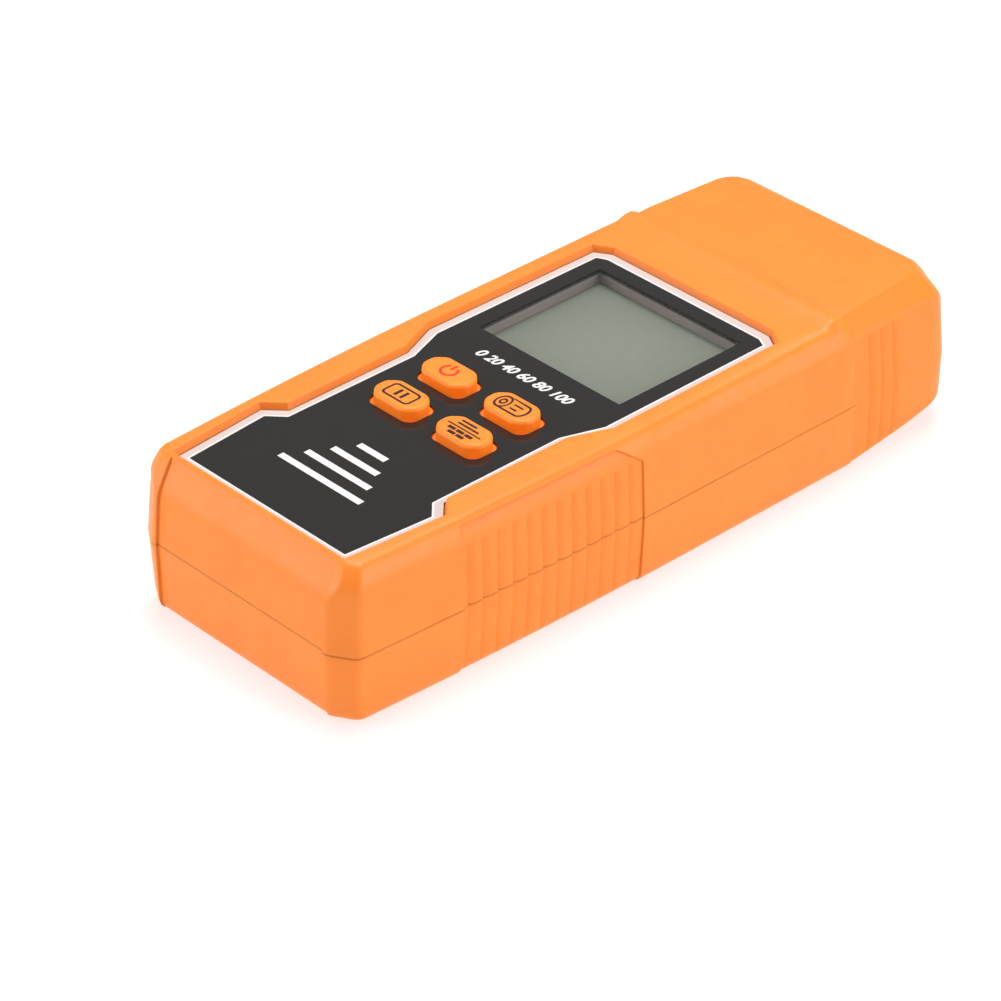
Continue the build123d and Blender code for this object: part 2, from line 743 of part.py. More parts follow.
def zebra_strips():
    """Rubber contact strips between the board and both ends of the display."""
    top = LCD_TOP - FILM_T - LCD_T - 0.01
    x = (-16.0, 16.0)
    return [
        block(x, (LCD_Y[0] + 0.1, LCD_Y[0] + 1.9), (BOARD_TOP + 0.01, top)),
        block(x, (LCD_Y[1] - 1.9, LCD_Y[1] - 0.1), (BOARD_TOP + 0.01, top)),
    ]


def face_label():
    """Printed overlay with openings for the keys and the window."""
    label = extrude(Pos(0, 0, LABEL_FLOOR) * mirrored_outline(LABEL_HALF), LABEL_T)
    label -= window_opening(0, LABEL_FLOOR - 1, LABEL_TOP + 1)
    return label - key_openings(LABEL_FLOOR - 1, LABEL_TOP + 1)


# ================================================================= keypad
def keypad_web():
    """Rubber sheet on the board with a raised collar round each key stem."""
    margin = 1.4
    x = KEY_X + KEY_W / 2 + margin
    y = (KEY_ROWS[1] - KEY_H / 2 - margin, KEY_ROWS[0] + KEY_H / 2 + margin)
    base = BOARD_TOP + 0.06
    web = block((-x, x), y, (base, base + 0.5))
    web = fillet(web.edges().filter_by(Axis.Z), 1.2)
    for key_x, key_y in key_centres().values():
        collar = RectangleRounded(STEM_W + 2.8, STEM_H + 2.6, 1.0)
        hole = RectangleRounded(STEM_W + 1.6, STEM_H + 1.4, 0.6)
        web += extrude(Pos(key_x, key_y, base) * collar, 1.5)
        web -= extrude(Pos(key_x, key_y, base - 1) * hole, 4)
    return web


def key(x, y):
    """A moulded rubber key: eight-sided top, rounded base, retaining flange and stem."""
    corner = KEY_CORNER
    half_w = KEY_W / 2
    half_h = KEY_H / 2
    outline = [
        (half_w, -half_h + corner),
        (half_w, half_h - corner),
        (half_w - corner, half_h),
        (-half_w + corner, half_h),
        (-half_w, half_h - corner),
        (-half_w, -half_h + corner),
        (-half_w + corner, -half_h),
        (half_w - corner, -half_h),
    ]
    top_face = make_face(Polyline(*outline, close=True))
    top_face = fillet(top_face.vertices(), KEY_ROUND)
    head = extrude(Pos(x, y, KEY_BASE_TOP - 0.1) * top_face, KEY_TOP - KEY_BASE_TOP + 0.1)
    head = fillet(head.edges().group_by(Axis.Z)[-1], KEY_TOP_ROUND)
    base = RectangleRounded(KEY_SLOT_W - 2 * KEY_GAP, KEY_SLOT_H - 2 * KEY_GAP, KEY_SLOT_ROUND)
    body = head + extrude(Pos(x, y, KEY_FLANGE_TOP - 0.1) * base, KEY_BASE_TOP - KEY_FLANGE_TOP + 0.1)
    flange = RectangleRounded(KEY_W + 2.0, KEY_H + 2.0, 1.0)
    body += extrude(Pos(x, y, KEY_FLANGE_Z) * flange, KEY_FLANGE_TOP - KEY_FLANGE_Z)
    stem = RectangleRounded(STEM_W, STEM_H, 0.5)
    return body + extrude(Pos(x, y, STEM_Z) * stem, KEY_FLANGE_Z - STEM_Z + 0.1)


def key_pill(x, y):
    """The carbon contact bonded under a key stem."""
    return post(x, y, PILL_Z, STEM_Z - 0.005, PILL_R)


# ================================================================= probe end
def pin_block():
    """Insulating block held in the neck, with a bore for each socket."""
    half_h = NOSE_H / 2
    nose = block((-NOSE_HALF, NOSE_HALF), (BLOCK_BACK + 1, NOSE_END), (PIN_Z - half_h, PIN_Z + half_h))
    nose = fillet(nose.edges().filter_by(Axis.Y), 1.0)
    wall_back = NECK_END - NECK_WALL
    flange = block((-NOSE_HALF - 3, NOSE_HALF + 3), (BLOCK_BACK, wall_back - 0.05), (PIN_Z - 6.4, PIN_Z + 6.4))
    solid = nose + flange
    for x in (-PIN_X, PIN_X):
        solid -= rod(x, PIN_Z, BLOCK_BACK - 1, NOSE_END + 1, SOCKET_R + 0.02)
    return solid


def pin_socket(x):
    """Brass bush with a front collar and a blind bore for the pin."""
    bush = rod(x, PIN_Z, BLOCK_BACK - 2.2, NOSE_END, SOCKET_R)
    bush += rod(x, PIN_Z, NOSE_END, NOSE_END + 0.6, SOCKET_R + 0.7)
    return bush - rod(x, PIN_Z, BLOCK_BACK + 0.4, NOSE_END + 1, PIN_R + 0.02)


def hexagon_bar(x, y_low, y_high, across_flats):
    """A hexagonal bar that lies along Y."""
    radius = across_flats / math.sqrt(3)
    plane = Plane(origin=(x, y_low, PIN_Z), z_dir=(0, 1, 0), x_dir=(1, 0, 0))
    return extrude(plane * RegularPolygon(radius, 6), y_high - y_low)


def probe_pin(x):
    """Steel needle: stud in the socket, hexagon for a spanner, long tapered point."""
    face = NOSE_END + 0.62
    pin = rod(x, PIN_Z, BLOCK_BACK + 0.6, face, PIN_R)
    pin += hexagon_bar(x, face, face + 1.5, 4.0)
    pin += rod(x, PIN_Z, face, PIN_TIP_Y - PIN_TAPER, PIN_R)
    tip = Pos(x, PIN_TIP_Y - PIN_TAPER / 2, PIN_Z) * Rot(-90, 0, 0) * Cone(PIN_R, 0.08, PIN_TAPER)
    return pin + tip


def pin_nut(x):
    """Nut that clamps a socket from behind the block."""
    nut = hexagon_bar(x, BLOCK_BACK - 1.55, BLOCK_BACK - 0.05, 5.5)
    return nut - rod(x, PIN_Z, BLOCK_BACK - 3, BLOCK_BACK + 1, SOCKET_R + 0.02)


def solder_tag(x):
    """Washer-shaped tag behind the nut, with an arm for the lead."""
    back = BLOCK_BACK - 1.6
    tag = rod(x, PIN_Z, back - 0.4, back, 3.0)
    tag += block((x - 0.9, x + 0.9), (back - 0.4, back), (PIN_Z - 5.2, PIN_Z))
    return tag - rod(x, PIN_Z, back - 1, back + 1, SOCKET_R + 0.02)


def probe_leads():
    """The two wires from the solder tags to the board."""
    start = BLOCK_BACK - 2.7
    leads = []
    for side in (-1, 1):
        points = [
            (side * PIN_X, start, PIN_Z - 4.4),
            (side * (PIN_X + 1.0), start - 5.0, PIN_Z - 3.6),
            (side * (PIN_X + 2.0), BOARD_Y[1] - 1.5, BOARD_UNDER - LEAD_GAP),
        ]
        leads.append(lead(points))
    return leads


def neck_ribs(z_low, z_high):
    """Rib behind the pin block's flange that keeps it from sliding back."""
    return block((-10, 10), (BLOCK_BACK - 1.3, BLOCK_BACK - 0.03), (z_low, z_high))


def cap_top_half(y):
    """Half the width of the cap's flat top."""
    corner_y, corner_r = CAP_TOP_CORNER
    straight = CAP_TOP_HALF - CAP_TOP_TAPER * (y - JOINT_Y)
    return straight - quarter_round(min(y - corner_y, 0.96 * corner_r), corner_r)


def cap_section(y):
    """Cross-section of the cap's outside, which narrows and closes towards its far end."""
    share = (y - JOINT_Y) / (FAR_Y - JOINT_Y)
    side = CAP_HALF + (CAP_FAR_HALF - CAP_HALF) * share
    side -= quarter_round(y - FAR_Y + CAP_CORNER_R, 1.1 * CAP_CORNER_R)
    lift = CAP_LIFT * ramp(y, JOINT_Y + 1, 0.9) + CAP_NOSE_LIFT * ramp(y, CAP_NOSE_Y, 3.0)
    bottom = lift + quarter_round(y - FAR_Y + CAP_BOTTOM_ROUND, CAP_BOTTOM_ROUND)
    fall = ramp(y, CAP_END_BEVEL_Y, 1.0) + CAP_NEAR_FALL * ramp(-y, -CAP_NEAR_Y, 1.0)
    top = CAP_TOP - fall
    edge = CAP_EDGE_Z - 0.85 * ramp(y, CAP_END_BEVEL_Y, 1.0)
    half = [(side - BASE_INSET, bottom), (side, SEAM_Z), (side - EDGE_INSET, edge), (cap_top_half(y), top)]
    left = [(-x, z) for x, z in reversed(half)]
    face = make_face(Polyline(*[(x, y, z) for x, z in half + left], close=True))
    low_corners = face.vertices().group_by(Axis.Z)[0]
    face = fillet(low_corners, CAP_BOTTOM_ROUND)
    knees = [vertex for vertex in face.vertices() if abs(vertex.Z - edge) < 0.01]
    face = fillet(knees, 1.5)
    return fillet(face.vertices().group_by(Axis.Z)[-1], 1.2)


def cap_groove(side, y):
    """One upright V groove in the side of the cap."""
    far_share = (y - JOINT_Y) / (FAR_Y - JOINT_Y)
    outer = CAP_HALF + (CAP_FAR_HALF - CAP_HALF) * far_share
    sections = []
    for z, inset in ((-1, BASE_INSET), (SEAM_Z, 0), (CAP_EDGE_Z - 0.4, EDGE_INSET)):
        sections.append(Pos(0, 0, z) * groove_section(outer - inset, y))
    groove = loft(sections, ruled=True)
    return groove if side > 0 else mirror(groove, Plane.YZ)


def protective_cap():
    """Push-on cover for the pins."""
    body = [JOINT_Y + CAP_GAP, 40.6, 41.5, 43.0, 51.0, 54.0, 57.0, 58.2]
    nose = [59.2, 59.9, 60.5, 61.0, 61.5, 62.0, 62.5, 62.9, 63.2, 63.4, FAR_Y]
    cap = loft([cap_section(y) for y in body + nose], ruled=True)
    mouth = (JOINT_Y - 1, NECK_END + 0.2)
    gap = 0.12
    cap -= rounded_block(
        (-NECK_HALF - gap, NECK_HALF + gap), mouth, (NECK_Z[0] - gap, NECK_Z[1] + gap), NECK_ROUND + gap
    )
    cap -= rounded_block((-21.0, 21.0), (JOINT_Y, FAR_Y - 2.2), (PIN_Z - 7.5, PIN_Z + 7.5), 2.5)
    for y in CAP_GROOVES:
        cap -= cap_groove(1, y)
        cap -= cap_groove(-1, y)
    return cap


# ================================================================= the assembly
def assembly():
    """Every node by name, each a solid or a group of separate solids."""
    case = case_solid()
    nodes = {
        "upper_shell": upper_shell(case),
        "lower_shell": lower_shell(case),
        "protective_cap": protective_cap(),
        "battery_door": battery_door(),
        "face_label": face_label(),
        "display_window": display_window(),
        "display_bezel": display_bezel(),
        "lcd_cell": lcd_cell(),
        "front_polarizer": lcd_film(LCD_TOP - FILM_T, 0.9),
        "rear_polarizer": lcd_film(LCD_TOP - 2 * FILM_T - LCD_T, 2.2),
        "zebra_strips": zebra_strips(),
        "keypad_web": keypad_web(),
        "circuit_board": circuit_board(),
        "controller_chip": leaded_chip(-0.5, 12.0, (10.0, 10.0), 1.5, (11, 11), 0.8),
        "measuring_chip": leaded_chip(-11.5, 16.0, (4.0, 5.0), 1.5, (4, 0), 1.27),
        "filter_capacitor": filter_capacitor(),
        "clock_crystal": clock_crystal(),
        "chip_capacitors": capacitors(),
        "chip_resistors": resistors(),
        "key_pads": key_pads(),
        "board_screws": [board_screw(x, y) for x, y in both_sides(BOARD_SCREWS)],
        "case_screws": [case_screw(x, y) for x, y in both_sides(CASE_SCREWS)],
        "battery_cells": battery_cells(),
        "contact_springs": contact_springs(),
        "bridge_contact": bridge_contact(),
        "positive_contact": terminal(-CELL_X),
        "negative_contact": terminal(CELL_X),
        "battery_leads": battery_leads(),
        "pin_block": pin_block(),
        "pin_sockets": [pin_socket(x) for x in (-PIN_X, PIN_X)],
        "probe_pins": [probe_pin(x) for x in (-PIN_X, PIN_X)],
        "pin_nuts": [pin_nut(x) for x in (-PIN_X, PIN_X)],
        "solder_tags": [solder_tag(x) for x in (-PIN_X, PIN_X)],
        "probe_leads": probe_leads(),
    }
    for name, (x, y) in key_centres().items():
        nodes[f"{name}_key"] = key(x, y)
        nodes[f"{name}_key_pill"] = key_pill(x, y)
    return nodes


def main():
    """Write one STEP file for each node."""
    os.makedirs("parts", exist_ok=True)
    for name, shape in assembly().items():
        solid = Compound(children=list(shape)) if isinstance(shape, list) else shape
        export_step(solid, f"parts/{name}.step")


if __name__ == "__main__":
    main()
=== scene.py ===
"""Looks of a pin moisture meter that lies on its back: materials, prints, studio and camera."""

import json
import math

import bmesh
import bpy
from mathutils import Matrix, Vector


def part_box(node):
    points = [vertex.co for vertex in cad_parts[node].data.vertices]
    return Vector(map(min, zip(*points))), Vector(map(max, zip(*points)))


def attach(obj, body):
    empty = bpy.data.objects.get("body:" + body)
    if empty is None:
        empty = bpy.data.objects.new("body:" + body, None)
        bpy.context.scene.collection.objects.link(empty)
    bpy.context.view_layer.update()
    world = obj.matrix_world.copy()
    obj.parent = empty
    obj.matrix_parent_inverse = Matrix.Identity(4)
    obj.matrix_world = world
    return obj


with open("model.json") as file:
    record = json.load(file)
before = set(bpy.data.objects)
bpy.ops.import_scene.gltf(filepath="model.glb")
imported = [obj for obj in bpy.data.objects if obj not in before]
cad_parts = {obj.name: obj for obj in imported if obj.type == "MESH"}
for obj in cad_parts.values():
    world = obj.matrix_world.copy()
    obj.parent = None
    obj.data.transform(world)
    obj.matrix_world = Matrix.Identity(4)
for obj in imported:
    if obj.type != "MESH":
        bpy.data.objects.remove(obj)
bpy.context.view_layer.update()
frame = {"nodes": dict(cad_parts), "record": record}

MM = 0.001
LABEL_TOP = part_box("face_label")[1].z
KEY_NAMES = ("power", "hold", "wood", "wall")

# Printed graphics, in millimetres on the label.
INK_T = 0.012
SCALE_AT = (-10.4, -7.4)
SCALE_SIZE = 2.75
SCALE_BOLD = 0.09
BARS_FIRST_Y = -38.0
BARS_PITCH = 3.4
BAR_H = 1.2
BAR_LENGTHS = (6, 10, 14, 18)
NUMBER_SLANT = 0.24
BOLD_COPIES = 6
COPY_RISE = 0.003

# Height of the ink on the label, in metres.
LABEL_INK_Z = LABEL_TOP + INK_T * MM

# Camera: a shifted lens keeps upright edges parallel.
CAMERA_AT = Vector((0.54827, -0.52566, 0.41907))
CAMERA_AZIMUTH = math.radians(46.84)
SENSOR = 36.0
LENS = 178.87
LENS_SHIFT = -2.741
HOME_REACH = 0.05


# The orange plastic scatters a little light below its surface, which keeps its seams bright.
GLOW_THROUGH = {
    "Subsurface_Weight": 0.35,
    "Subsurface_Radius": (1.0, 0.3, 0.03),
    "Subsurface_Scale": 1.5 * MM,
}


# ---------------------------------------------------------------- materials


class Surface:
    """A node material being put together around one Principled BSDF."""

    def __init__(self, name):
        self.material = bpy.data.materials.new(name)
        self.material.use_nodes = True
        self.nodes = self.material.node_tree.nodes
        self.links = self.material.node_tree.links
        self.shader = self.nodes["Principled BSDF"]
        self.output = self.nodes["Material Output"]
        self.place = self.add("ShaderNodeTexCoord").outputs["Object"]

    def add(self, kind, **settings):
        """Add a node and set its properties."""
        node = self.nodes.new(kind)
        for key, value in settings.items():
            setattr(node, key, value)
        return node

    def put(self, socket, value):
        """Feed an input with another node's output or with a plain value."""
        if isinstance(value, bpy.types.NodeSocket):
            self.links.new(value, socket)
        else:
            socket.default_value = value

    def set(self, **values):
        """Feed inputs of the Principled BSDF; an underscore in a name stands for a space."""
        for key, value in values.items():
            self.put(self.shader.inputs[key.replace("_", " ")], value)

    def noise(self, size, detail=2.0, stretch=(1, 1, 1)):
        """Noise with features about size metres across."""
        mapping = self.add("ShaderNodeMapping")
        mapping.inputs["Scale"].default_value = stretch
        self.put(mapping.inputs["Vector"], self.place)
        node = self.add("ShaderNodeTexNoise")
        node.inputs["Scale"].default_value = 1.0 / size
        node.inputs["Detail"].default_value = detail
        self.put(node.inputs["Vector"], mapping.outputs["Vector"])
        return node.outputs["Fac"]

    def span(self, value, low, high, from_low=0.3, from_high=0.7):
        """Map a value, by default a noise's usual range, to a range of plain numbers."""
        node = self.add("ShaderNodeMapRange")
        self.put(node.inputs["Value"], value)
        node.inputs["From Min"].default_value = from_low
        node.inputs["From Max"].default_value = from_high
        node.inputs["To Min"].default_value = low
        node.inputs["To Max"].default_value = high
        return node.outputs["Result"]

    def mix(self, share, first, second):
        """Blend two colours."""
        node = self.add("ShaderNodeMix", data_type="RGBA")
        self.put(node.inputs[0], share)
        for socket, colour in ((node.inputs[6], first), (node.inputs[7], second)):
            self.put(socket, colour if isinstance(colour, bpy.types.NodeSocket) else (*colour, 1.0))
        return node.outputs[2]

    def axis(self, name):
        """One coordinate of the shaded point, in metres."""
        node = self.add("ShaderNodeSeparateXYZ")
        self.put(node.inputs["Vector"], self.place)
        return node.outputs[name]

    def math(self, operation, first, second=0.0):
        """One arithmetic step."""
        node = self.add("ShaderNodeMath", operation=operation)
        self.put(node.inputs[0], first)
        self.put(node.inputs[1], second)
        return node.outputs["Value"]

    def round_edges(self, radius):
        """A normal that rounds sharp edges over a radius."""
        node = self.add("ShaderNodeBevel", samples=6)
        node.inputs["Radius"].default_value = radius
        return node.outputs["Normal"]

    def bump(self, height, depth, normal=None):
        """A normal disturbed by a height, with depth in metres."""
        node = self.add("ShaderNodeBump")
        node.inputs["Distance"].default_value = depth
        self.put(node.inputs["Height"], height)
        if normal is not None:
            self.put(node.inputs["Normal"], normal)
        return node.outputs["Normal"]


def moulded(name, colour, deep, roughness, grain=0.12 * MM, relief=0.004 * MM, edge=0.45 * MM):
    """Moulded plastic: two close tones, a fine spark-eroded grain and softened edges."""
    surface = Surface(name)
    tone = surface.span(surface.noise(9 * MM, detail=3.0), 0.0, 1.0)
    surface.set(Base_Color=surface.mix(tone, colour, deep))
    smear = surface.noise(2.2 * MM, detail=4.0)
    surface.set(Roughness=surface.span(smear, roughness - 0.05, roughness + 0.05))
    texture = surface.noise(grain, detail=3.0)
    surface.set(Normal=surface.bump(texture, relief, surface.round_edges(edge)))
    return surface


def case_orange():
    """Satin orange ABS of the case and the battery door."""
    surface = moulded("case_orange", (1.0, 0.262, 0.023), (0.97, 0.242, 0.019), 0.42)
    surface.set(Specular_IOR_Level=0.42, **GLOW_THROUGH)
    return surface.material


def cap_orange():
    """The cap's ABS, with a slightly stronger grain than the case."""
    light = (1.0, 0.252, 0.02)
    dark = (0.97, 0.235, 0.017)
    surface = moulded("cap_orange", light, dark, 0.46, relief=0.007 * MM, edge=0.3 * MM)
    surface.set(Specular_IOR_Level=0.42, **GLOW_THROUGH)
    return surface.material


def key_rubber():
    """Satin silicone rubber of the keys: light passes through it, and a painted glow (emission) also
    lightens them, so their sides never look dark.
    """
    surface = moulded("key_rubber", (1.0, 0.235, 0.008), (0.97, 0.215, 0.007), 0.45, edge=0.3 * MM)
    surface.set(Subsurface_Weight=0.5, Subsurface_Radius=(1.0, 0.5, 0.15), Subsurface_Scale=2.0 * MM)
    # Painted light: a faint orange emission makes the keys glow, standing in for light let through the
    # rubber.
    surface.set(Emission_Color=(1.0, 0.2, 0.01, 1.0), Emission_Strength=0.24)
    return surface.material


def label_print():
    """Gloss charcoal overlay: faint orange-peel under a clear coat."""
    surface = Surface("label_print")
    tone = surface.span(surface.noise(0.35 * MM, detail=2.0), 0.0, 1.0)
    surface.set(Base_Color=surface.mix(tone, (0.016, 0.015, 0.0135), (0.02, 0.019, 0.0175)))
    smudge = surface.noise(14 * MM, detail=4.0)
    surface.set(Roughness=surface.span(smudge, 0.12, 0.18), Specular_IOR_Level=0.2)
    surface.set(Normal=surface.bump(surface.noise(1.1 * MM), 0.002 * MM))
    return surface.material


def ink(name, colour, worn):
    """Screen-printed ink with a slightly uneven lay."""
    surface = Surface(name)
    lay = surface.span(surface.noise(0.18 * MM, detail=3.0), 0.0, 1.0)
    surface.set(Base_Color=surface.mix(lay, colour, worn), Roughness=0.4, Specular_IOR_Level=0.25)
    surface.set(Normal=surface.bump(surface.noise(0.1 * MM), 0.001 * MM))
    return surface.material


def window_clear():
    """Clear acrylic: see-through, with a reflection on its top face that grows at grazing angles."""
    surface = Surface("window_clear")
    clear = surface.add("ShaderNodeBsdfTransparent")
    clear.inputs["Color"].default_value = (0.97, 0.98, 0.975, 1.0)
    gloss = surface.add("ShaderNodeBsdfGlossy")
    wipe = surface.noise(6 * MM, detail=3.0, stretch=(1, 0.3, 1))
    surface.put(gloss.inputs["Roughness"], surface.span(wipe, 0.05, 0.12))
    tilt = surface.add("ShaderNodeLayerWeight")
    steep = surface.math("POWER", tilt.outputs["Facing"], 4.0)
    geometry = surface.add("ShaderNodeNewGeometry")
    facing = surface.add("ShaderNodeSeparateXYZ")
    surface.put(facing.inputs["Vector"], geometry.outputs["True Normal"])
    upward = surface.math("GREATER_THAN", facing.outputs["Z"], 0.9)
    front = surface.math("SUBTRACT", upward, geometry.outputs["Backfacing"])
    top_only = surface.math("MAXIMUM", front, 0.0)
    share = surface.math("MULTIPLY", surface.span(steep, 0.02, 0.5, 0.0, 1.0), top_only)
    both = surface.add("ShaderNodeMixShader")
    surface.put(both.inputs[0], share)
    surface.put(both.inputs[1], clear.outputs["BSDF"])
    surface.put(both.inputs[2], gloss.outputs["BSDF"])
    surface.put(surface.output.inputs["Surface"], both.outputs["Shader"])
    return surface.material


def bezel_dark():
    """Matt charcoal collar round the display."""
    surface = moulded("bezel_dark", (0.3, 0.26, 0.245), (0.27, 0.23, 0.215), 0.7, edge=0.1 * MM)
    return surface.material


def glass_with_ledge():
    """Bonded display glass, seen only at its edge."""
    surface = Surface("lcd_glass")
    tone = surface.span(surface.noise(3 * MM), 0.0, 1.0)
    surface.set(Base_Color=surface.mix(tone, (0.3, 0.33, 0.29), (0.26, 0.29, 0.25)))
    surface.set(Roughness=0.15, Coat_Weight=0.4)
    return surface.material


def polarizer():
    """The blank display: greenish grey film with a faint reflector grain, and painted shade that darkens it
    from the middle towards its edges and corners.
    """
    surface = Surface("polarizer")
    low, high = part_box("front_polarizer")
    middle = (low + high) / 2
    reach = (high - low).length / 2
    apart = surface.add("ShaderNodeVectorMath", operation="DISTANCE")
    surface.put(apart.inputs[0], surface.place)
    apart.inputs[1].default_value = middle
    # Painted shade: the film darkens with distance from its middle, standing in for the shade of the recess
    # round the display.
    painted_edge_shade = surface.span(apart.outputs["Value"], 0.0, 1.0, 0.2 * reach, 1.15 * reach)
    shaded_grey = surface.mix(painted_edge_shade, (0.215, 0.22, 0.175), (0.15, 0.155, 0.13))
    fibre = surface.span(surface.noise(0.25 * MM, stretch=(1, 0.25, 1)), 0.0, 0.25)
    surface.set(Base_Color=surface.mix(fibre, shaded_grey, (0.27, 0.275, 0.23)), Roughness=0.5)
    return surface.material


def plain_plastic(name, colour, roughness=0.5):
    """Small dark or coloured mouldings inside the case."""
    deep = [channel * 0.85 for channel in colour]
    return moulded(name, colour, deep, roughness, edge=0.08 * MM).material


def metal(name, colour, roughness, brush=(1, 1, 1), scratch=0.15 * MM):
    """Bare metal with turning or brushing marks along one direction."""
    surface = Surface(name)
    marks = surface.noise(scratch, detail=4.0, stretch=brush)
    dull = [channel * 0.82 for channel in colour]
    surface.set(Base_Color=surface.mix(surface.span(marks, 0.0, 1.0), colour, dull), Metallic=1.0)
    surface.set(Roughness=surface.span(marks, roughness - 0.06, roughness + 0.08))
    surface.set(Normal=surface.bump(marks, 0.002 * MM, surface.round_edges(0.06 * MM)))
    return surface.material


def board_laminate():
    """Green solder mask over a pattern of copper tracks."""
    surface = Surface("board_laminate")
    cells = surface.add("ShaderNodeTexVoronoi", distance="CHEBYCHEV", feature="DISTANCE_TO_EDGE")
    cells.inputs["Scale"].default_value = 1 / (2.4 * MM)
    surface.put(cells.inputs["Vector"], surface.place)
    track = surface.span(cells.outputs["Distance"], 1.0, 0.0, 0.03, 0.06)
    surface.set(Base_Color=surface.mix(track, (0.012, 0.11, 0.04), (0.03, 0.2, 0.07)))
    surface.set(Roughness=0.3, Normal=surface.bump(track, 0.03 * MM))
    return surface.material


def cell_jacket():
    """Shrink-wrapped battery cells: dark jacket, a bright band round the positive end, bare steel ends."""
    surface = Surface("cell_jacket")
    low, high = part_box("battery_cells")
    middle = (low.y + high.y) / 2
    half = (high.y - low.y) / 2
    # The two cells lie head to tail, so the band's place flips with the side of the meter.
    side = surface.math("SIGN", surface.axis("X"))
    along = surface.math("MULTIPLY", surface.math("SUBTRACT", surface.axis("Y"), middle), side)
    share = surface.math("DIVIDE", along, half)
    band = surface.math("GREATER_THAN", share, 0.52)
    bare = surface.math("GREATER_THAN", surface.math("ABSOLUTE", share), 0.955)
    print_grain = surface.span(surface.noise(0.3 * MM), 0.0, 1.0)
    dark = surface.mix(print_grain, (0.03, 0.032, 0.036), (0.04, 0.042, 0.048))
    jacket = surface.mix(band, dark, (0.6, 0.33, 0.1))
    surface.set(Base_Color=surface.mix(bare, jacket, (0.7, 0.7, 0.7)), Metallic=bare)
    surface.set(Roughness=0.28, Normal=surface.bump(surface.noise(0.8 * MM), 0.006 * MM))
    return surface.material


MATERIALS = {
    "case_orange": case_orange,
    "cap_orange": cap_orange,
    "key_rubber": key_rubber,
    "label_print": label_print,
    "window_clear": window_clear,
    "bezel_dark": bezel_dark,
    "lcd_glass": glass_with_ledge,
    "polarizer": polarizer,
    "conductive_rubber": lambda: plain_plastic("conductive_rubber", (0.035, 0.035, 0.035), 0.7),
    "board_laminate": board_laminate,
    "chip_body": lambda: plain_plastic("chip_body", (0.025, 0.025, 0.027), 0.55),
    "capacitor_can": lambda: metal("capacitor_can", (0.72, 0.72, 0.74), 0.3, brush=(1, 1, 0.1)),
    "ceramic": lambda: plain_plastic("ceramic", (0.42, 0.32, 0.22), 0.45),
    "gold_contact": lambda: metal("gold_contact", (0.83, 0.6, 0.25), 0.25),
    "steel": lambda: metal("steel", (0.6, 0.6, 0.61), 0.34),
    "needle_steel": lambda: metal("needle_steel", (0.74, 0.74, 0.75), 0.16, brush=(1, 0.08, 1)),
    "brass": lambda: metal("brass", (0.8, 0.56, 0.22), 0.24, brush=(1, 0.1, 1)),
    "spring_wire": lambda: metal("spring_wire", (0.68, 0.67, 0.65), 0.26),
    "cell_jacket": cell_jacket,
    "black_plastic": lambda: plain_plastic("black_plastic", (0.028, 0.028, 0.028), 0.5),
    "lead_red": lambda: plain_plastic("lead_red", (0.45, 0.02, 0.015), 0.4),
    "lead_black": lambda: plain_plastic("lead_black", (0.02, 0.02, 0.02), 0.4),
}


# ---------------------------------------------------------------- frame nodes


def soft_shading():
    """A modifier group that joins a node's faces and shades them smooth, except over sharp edges."""
    group = bpy.data.node_groups.new("soft_shading", "GeometryNodeTree")
    group.interface.new_socket("Geometry", in_out="INPUT", socket_type="NodeSocketGeometry")
    group.interface.new_socket("Geometry", in_out="OUTPUT", socket_type="NodeSocketGeometry")
    start = group.nodes.new("NodeGroupInput")
    end = group.nodes.new("NodeGroupOutput")
    merge = group.nodes.new("GeometryNodeMergeByDistance")
    merge.inputs["Distance"].default_value = 0.002 * MM
    angle = group.nodes.new("GeometryNodeInputMeshEdgeAngle")
    sharp = group.nodes.new("FunctionNodeCompare")
    sharp.inputs["B"].default_value = math.radians(28)
    normals = group.nodes.new("GeometryNodeSetMeshNormal")
    normals.mode = "SHARPNESS"
    normals.inputs["Remove Custom"].default_value = True
    link = group.links.new
    link(start.outputs[0], merge.inputs["Geometry"])
    link(merge.outputs["Geometry"], normals.inputs["Mesh"])
    link(angle.outputs["Unsigned Angle"], sharp.inputs["A"])
    link(sharp.outputs["Result"], normals.inputs["Edge Sharpness"])
    link(normals.outputs["Mesh"], end.inputs[0])
    return group


def dress_frame():
    """Give every CAD node the material of its slot and smooth shading."""
    made = {slot: make() for slot, make in MATERIALS.items()}
    shading = soft_shading()
    for part in frame["record"]["subparts"]:
        node = frame["nodes"][part["node"]]
        node.data.materials.clear()
        node.data.materials.append(made[part["material_slot"]])
        node.modifiers.new("soft_shading", "NODES").node_group = shading


# ---------------------------------------------------------------- printed graphics


def add_outline(curve, points):
    """Add one closed outline to a flat curve; an outline inside another one is a hole."""
    spline = curve.splines.new("POLY")
    spline.points.add(len(points) - 1)
    for target, (x, y) in zip(spline.points, points):
        target.co = (x, y, 0, 1)
    spline.use_cyclic_u = True


def flat_curve(name, outlines):
    """A filled flat shape from closed outlines, in millimetres."""
    curve = bpy.data.curves.new(name, "CURVE")
    curve.dimensions = "2D"
    curve.fill_mode = "BOTH"
    curve.extrude = INK_T / 2
    for points in outlines:
        add_outline(curve, points)
    return curve


def numerals(name, text, size):
    """Slanted generic numerals, in millimetres."""
    curve = bpy.data.curves.new(name, "FONT")
    curve.body = text
    curve.size = size
    curve.shear = NUMBER_SLANT
    curve.extrude = INK_T / 2
    return curve


def thicken(mesh, reach):
    """Make flat type bolder by laying shifted copies over it, in the mesh's own units."""
    bold = bmesh.new()
    for step in range(BOLD_COPIES):
        turn = 2 * math.pi * step / BOLD_COPIES
        copy = mesh.copy()
        shift = (reach * math.cos(turn), reach * math.sin(turn), step * COPY_RISE)
        copy.transform(Matrix.Translation(shift))
        bold.from_mesh(copy)
        bpy.data.meshes.remove(copy)
    bold.to_mesh(mesh)
    bold.free()


